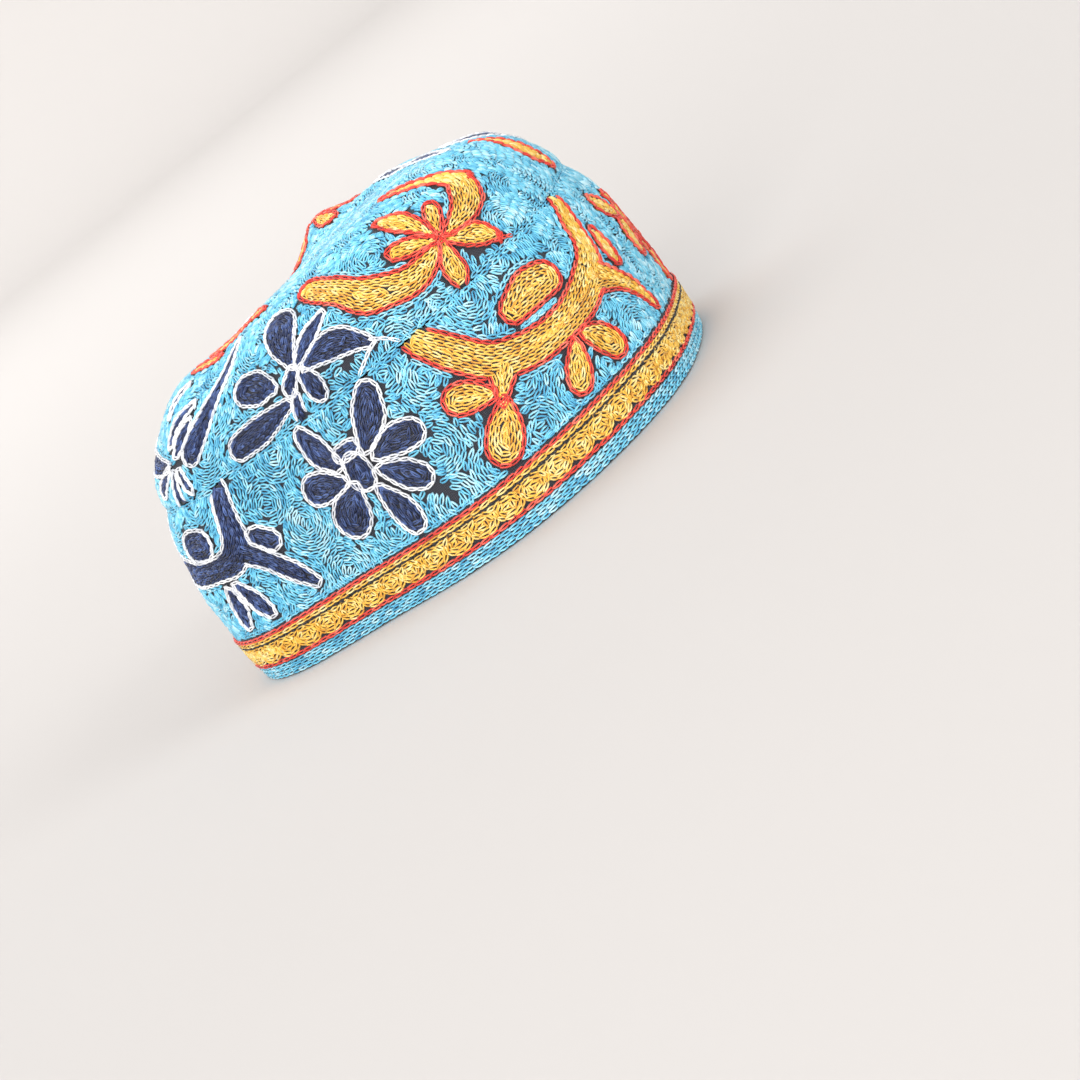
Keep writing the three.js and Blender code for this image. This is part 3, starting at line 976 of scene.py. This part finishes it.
def embroider(place, surface, limbs, wraps, inside, low, high):
    """Sew the ornament of one cloth: fills, then outlines on top."""
    fills, outlines = ornament_rows(limbs, wraps)
    for colour, thread in THREADS.items():
        outlines[colour] = np.concatenate([outlines[colour], tail_rows(place, colour)])
        darn = darn_ornament(fills[colour], colour, limbs, wraps, low, high)
        fills[colour] = np.concatenate([fills[colour], darn])
        for kind, rows, height in (("fill", fills, FILL_HEIGHT), ("line", outlines, OUTLINE_HEIGHT)):
            kept = by_hand(rows[colour][inside(rows[colour])])
            material, slot, loop, _ = thread[kind]
            sew(f"{place}_{colour}_{kind}", surface, kept, loop, height, material)
        print(place, colour, len(fills[colour]), "fill and", len(outlines[colour]), "outline stitches")


BAND_FIELD = (-RIM_AROUND / 2, 0), (RIM_AROUND / 2, BAND_HEIGHT)
CROWN_FIELD = (-CROWN_DISC, -CROWN_DISC), (CROWN_DISC, CROWN_DISC)
embroider("band", on_band, BAND_LIMBS, True, inside_band, *BAND_FIELD)
embroider("crown", on_crown, CROWN_LIMBS, False, inside_crown, *CROWN_FIELD)


# %% Sky-blue ground
def seeds_on(width, height, left, bottom, inside):
    """A staggered grid of seeds, each moved a little at random."""
    rows = int(round(height / (SEED_SPACING * 0.87)))
    columns = int(round(width / SEED_SPACING))
    j, i = np.meshgrid(np.arange(rows + 1), np.arange(columns), indexing="ij")
    x = left + (i + 0.5 * (j % 2)) * width / columns
    y = bottom + j * height / max(rows, 1)
    seeds = np.column_stack([x.ravel(), y.ravel()]) + rng.normal(0, 2.6, (x.size, 2))
    return seeds[inside(seeds)]


def rim_row(y, advance):
    """One row of chain right around the cap at a height."""
    count = int(round(RIM_AROUND / advance))
    x = (np.arange(count) + 0.5) * RIM_AROUND / count
    ones = np.ones(count)
    return np.column_stack([x, y * ones, 0 * ones, RIM_AROUND / count / advance * ones])


SEAM_INSET = {"band": 0.5, "crown": 0.7}  # how far from its edge each cloth's seam row lies
SEAM_STRETCH = 1.05


def seam_row(place):
    """One row of chain along the seam, on the band or on the crown."""
    count = int(round(RIM_AROUND / FILL_ADVANCE))
    turn = (np.arange(count) + rng.random()) * 2 * np.pi / count
    if place == "band":
        x, y = wrap_band(turn * PLAN_RADIUS), np.full(count, BAND_HEIGHT - SEAM_INSET[place])
        angle = np.zeros(count)
    else:
        radius = CROWN_DISC - SEAM_INSET[place]
        x, y = radius * np.cos(turn), radius * np.sin(turn)
        angle = turn + np.pi / 2
    return np.column_stack([x, y, angle, np.full(count, SEAM_STRETCH)])


def covered(place, rows):
    """The rows that lie outside every bare spot of the piece."""
    keep = np.ones(len(rows), dtype=bool)
    for where, x, y, radius in BARE_SPOTS:
        if where == place:
            keep &= np.hypot(rows[:, 0] - x, rows[:, 1] - y) > radius + 0.9
    return rows[keep]


# Painted shade: the seam rows, in the crease at the seam, and the sunk darning stitches take a darker middle
# shade.
SWIRL_SHADE, DEEP_PAINTED_SHADE = 0.52, 0.35  # middle shades: of the swirls, and of rows that lie deeper
DARN_SUNK = 0.15


def ground(place, surface, seeds, limbs, wraps, inside, low, high):
    """Sew the ground of one cloth, in pieces small enough to export whole."""
    echo = covered(place, echo_rows(limbs, wraps, inside))
    swirl = covered(place, swirl_rows(seeds, limbs, wraps, inside))
    seam = seam_row(place)
    if place == "band":
        seam = np.concatenate([seam, rim_row(GROUND_LOW + 0.4, FILL_ADVANCE)])
    gap, owner = nearest(limbs, seam[:, 0], seam[:, 1], wraps)
    seam = seam[gap > outer_edge(limbs, owner) + 0.2]
    laid = np.concatenate([echo, swirl[:, :4], seam])
    darn = covered(place, darn_ground(laid, seeds, limbs, wraps, inside, low, high))
    # Painted shade: seam rows and darning stitches are sewn darker than the rest of the ground.
    echo_sewn, seam_sewn = by_hand(echo), by_hand(seam, DEEP_PAINTED_SHADE)
    swirl_sewn, darn_sewn = by_hand(swirl, SWIRL_SHADE, family=swirl[:, 4]), by_hand(darn, DEEP_PAINTED_SHADE)
    darn_sewn[:, 5] -= DARN_SUNK
    rows = np.concatenate([echo_sewn, seam_sewn, swirl_sewn, darn_sewn])
    for n, part in enumerate(np.array_split(rows[np.argsort(rows[:, 0], kind="stable")], 2)):
        sew(f"{place}_sky_ground_{n + 1}", surface, part, FILL_LOOP, FILL_HEIGHT, SKY_RAYON)
    print(place, "ground:", len(echo), "echo,", len(swirl), "swirl and", len(darn), "darning stitches")


def anywhere(seeds):
    """Every seed."""
    return np.ones(len(seeds), dtype=bool)


def near_disc(seeds):
    """Seeds on the crown's disc or a little past its edge."""
    return np.hypot(seeds[:, 0], seeds[:, 1]) < CROWN_DISC + 4


band_seeds = seeds_on(RIM_AROUND, 40, -RIM_AROUND / 2, 22, anywhere)
ground("band", on_band, band_seeds, BAND_LIMBS, True, inside_band, *BAND_FIELD)
crown_seeds = seeds_on(2 * CROWN_DISC, 2 * CROWN_DISC, -CROWN_DISC, -CROWN_DISC, near_disc)
ground("crown", on_crown, crown_seeds, CROWN_LIMBS, False, inside_crown, *CROWN_FIELD)

# %% [markdown]
# ## The border
# Along the rim runs a gold strip between two lines of red chain: one row of gold chain, a dark line
# of machine stitching, and a row of rosettes. A rosette is three rings of loops, one in another,
# which the eye takes for a small coil. Below the strip, the edging is three rows of sky-blue chain.
# Both have a cloth of their own that stands a little proud of the wall.

# %% Border strip and edging
ROSETTE_PITCH, ROSETTE_Y = 9.4, 10.3
ROSETTE_RINGS = ((4.4, 2.95, 9), (2.9, 1.75, 6), (1.3, 0.6, 3))  # half length, half height, loops
BETWEEN_Y = 13.0  # one loop fills the corner between two rosettes
MACHINE_Y, GOLD_ROW_Y = 13.95, 15.05
EDGING_ROWS = (1.2, 2.85, 4.5)
HEM_BOTTOM = 0.6
PROUD_DEPTH, PROUD_THICKNESS = 0.35, 0.55
BORDER_LIFT = 0.15
strip_heights = np.linspace(STRIP_BOTTOM, STRIP_TOP, 6)
hem_heights = np.linspace(HEM_BOTTOM, EDGING_TOP, 4)
border_cloth = cloth_ring("border_cloth", strip_heights, PROUD_DEPTH, PROUD_THICKNESS, "border_band")
rim_hem = cloth_ring("rim_hem", hem_heights, PROUD_DEPTH, PROUD_THICKNESS, "rim_edge")


def rosettes():
    """Rings of loops around each rosette's middle: each an ellipse of the table, evenly stepped."""
    count = int(round(RIM_AROUND / ROSETTE_PITCH))
    middles = (np.arange(count) + 0.5) * RIM_AROUND / count
    rows = []
    for half_length, half_height, loops in ROSETTE_RINGS:
        at = (np.arange(loops) * 2 * np.pi / loops)[None] + rng.random(count)[:, None] * 6
        x = middles[:, None] + half_length * np.cos(at)
        y = ROSETTE_Y + half_height * np.sin(at)
        angle = np.arctan2(half_height * np.cos(at), -half_length * np.sin(at))
        reach = np.hypot(half_height * np.cos(at), half_length * np.sin(at))
        stretch = np.clip(2 * np.pi * reach / loops / FILL_ADVANCE, 0.6, 1.15)
        rows.append(np.stack([x, y, angle, stretch], axis=-1).reshape(-1, 4))
    between = middles + RIM_AROUND / count / 2
    ones = np.ones(count)
    rows.append(np.column_stack([between, BETWEEN_Y * ones, 0 * ones, 0.75 * ones]))
    return np.concatenate(rows)


border_gold = np.concatenate([rosettes(), rim_row(GOLD_ROW_Y, FILL_ADVANCE)])
sew("border_gold", on_band, by_hand(border_gold), FILL_LOOP, BORDER_LIFT, GOLD_RAYON)
red_advance = THREADS["gold"]["line"][3]
red_lines = np.concatenate([rim_row(y, red_advance) for y in (RED_LOW, RED_HIGH)])
sew("border_red_lines", on_band, by_hand(red_lines), RED_LOOP, BORDER_LIFT + 0.2, RED_RAYON)
edging = np.concatenate([rim_row(y, FILL_ADVANCE) for y in EDGING_ROWS])
sew("rim_edging", on_band, by_hand(edging), FILL_LOOP, BORDER_LIFT - 0.1, SKY_RAYON)
machine_line = rim_row(MACHINE_Y, 2.6)
DASH = dict(length=2.5, width=0.9, thread=0.22, lift=0.0)
# Mercerised cotton sewing thread, twisted and dyed black: a thin dark line with a faint gloss. Its
# nodes are the same as the rayon's.
BLACK_COTTON = sewing_thread("black_cotton_machine_thread", "#15161A", "#22232A", "#33353E")
sew("machine_line", on_band, by_hand(machine_line), DASH, BORDER_LIFT + 0.3, BLACK_COTTON)
print("border:", len(border_gold), "gold,", len(red_lines), "red,", len(edging), "edging stitches")

# %% [markdown]
# ## Stage, light and camera
# A pale floor that curves up into a backdrop on every side and a bright world give the soft, even
# light of a catalogue photograph. Four broad lights add to it: a key beside the camera, one from
# above, a weaker fill from the right and one that evens out the backdrop. The camera looks from a
# few degrees above the rim and is rolled, because the photographed cap leans.

# %% Floor and backdrop
FLOOR_RADIUS, FLOOR_RISE = 6.0, 4.0  # metres, as everything on the stage
FLOOR_FLAT, FLOOR_BEND = 0.66, 2.2


def floor_sheet(rings=48, around=96):
    """A disc that is flat up to a share of its radius; past it, height goes as a power of the way."""
    share = np.linspace(0.002, 1, rings)[:, None]
    bearing = (np.arange(around) * 2 * np.pi / around)[None]
    lift = FLOOR_RISE * np.clip((share - FLOOR_FLAT) / (1 - FLOOR_FLAT), 0, 1) ** FLOOR_BEND
    x, y = FLOOR_RADIUS * share * np.cos(bearing), FLOOR_RADIUS * share * np.sin(bearing)
    points = np.stack(np.broadcast_arrays(x, y, lift), axis=-1).reshape(-1, 3)
    faces = wrapped_faces(rings, around, wrap_rows=False)
    mesh = bpy.data.meshes.new("floor")
    mesh.from_pydata(points.tolist(), [], faces.tolist() + [list(range(around))[::-1]])
    mesh.polygons.foreach_set("use_smooth", np.ones(len(mesh.polygons), dtype=bool))
    floor = bpy.data.objects.new("floor", mesh)
    bpy.context.scene.collection.objects.link(floor)
    # Uncoated paper, pulled off a roll: wholly matt, so that the floor shows nothing but a soft shadow
    material, tree = new_material("matt_paper_backdrop")
    shader = add(tree, "ShaderNodeBsdfPrincipled", roughness=0.95, base_color=linear("#CBC7C4"))
    finish_material(tree, shader)
    mesh.materials.append(material)
    return floor


floor = floor_sheet()
print("floor:", len(floor.data.polygons), "faces")


# %% Camera
ELEVATION, ROLL = 8.0, 38.0
CAMERA_DISTANCE = 900.0
AIM = np.array([0.0, 0.0, 50.0])  # middle of the cap, millimetres
PICTURE = 1080
PIXELS_PER_MM = 3.115  # at the aim
AIM_PIXEL = (393.1, 372.3)  # where the middle of the cap lies in the photograph
SENSOR = 36.0


def photo_camera():
    """Look at the middle of the cap, roll, then turn until it lies at its place in the frame."""
    elevation, roll = math.radians(ELEVATION), math.radians(ROLL)
    back = Vector((0, -math.cos(elevation), math.sin(elevation)))
    right = Vector((1, 0, 0))
    up = back.cross(right)
    focal = PIXELS_PER_MM * CAMERA_DISTANCE
    rolled_right = right * math.cos(roll) - up * math.sin(roll)
    rolled_up = right * math.sin(roll) + up * math.cos(roll)
    axes = Matrix((rolled_right, rolled_up, back)).transposed()
    seen = Vector((AIM_PIXEL[0] - PICTURE / 2, PICTURE / 2 - AIM_PIXEL[1], -focal)).normalized()
    turn = seen.rotation_difference(Vector((0, 0, -1))).to_matrix()
    data = bpy.data.cameras.new("photo_camera")
    data.sensor_width = SENSOR
    data.lens = focal * SENSOR / PICTURE
    camera = bpy.data.objects.new("photo_camera", data)
    bpy.context.scene.collection.objects.link(camera)
    place = Vector(((AIM + SHIFT) * MM).tolist()) + back * CAMERA_DISTANCE * MM
    camera.matrix_world = Matrix.Translation(place) @ (axes @ turn).to_4x4()
    bpy.context.scene.camera = camera
    return camera


camera = photo_camera()
print("camera lens", round(camera.data.lens, 1), "mm at", [round(v, 3) for v in camera.location])


# %% Lights
CAP_MIDDLE = (0.0, 0.0, 0.05)
LIGHTS = (  # name, place, size, watts, aim
    ("key", (-1.0, -3.7, 1.3), 2.2, 142, CAP_MIDDLE),
    ("top", (-0.9, 1.0, 3.8), 3.0, 62, CAP_MIDDLE),
    ("fill", (3.0, -2.2, 1.5), 1.8, 48, CAP_MIDDLE),
    ("backdrop", (-1.0, 1.5, 3.4), 2.5, 110, (-2.0, 6.0, 0.8)),
)
WORLD_STRENGTH = 0.72


def soft_light(name, place, size, watts, aim):
    """A square area light at a place, facing its aim."""
    data = bpy.data.lights.new(name, "AREA")
    data.size = size
    data.energy = watts
    light = bpy.data.objects.new(name, data)
    light.location = place
    light.rotation_euler = (Vector(place) - Vector(aim)).to_track_quat("Z", "Y").to_euler()
    bpy.context.scene.collection.objects.link(light)


for light_row in LIGHTS:
    soft_light(*light_row)
print("lights:", ", ".join(light_row[0] for light_row in LIGHTS))
bpy.context.scene.view_settings.view_transform = "Standard"
world = bpy.data.worlds.new("studio")
bpy.context.scene.world = world
world.use_nodes = True
world.node_tree.nodes["Background"].inputs["Color"].default_value = linear("#FFFFFF")
world.node_tree.nodes["Background"].inputs["Strength"].default_value = WORLD_STRENGTH
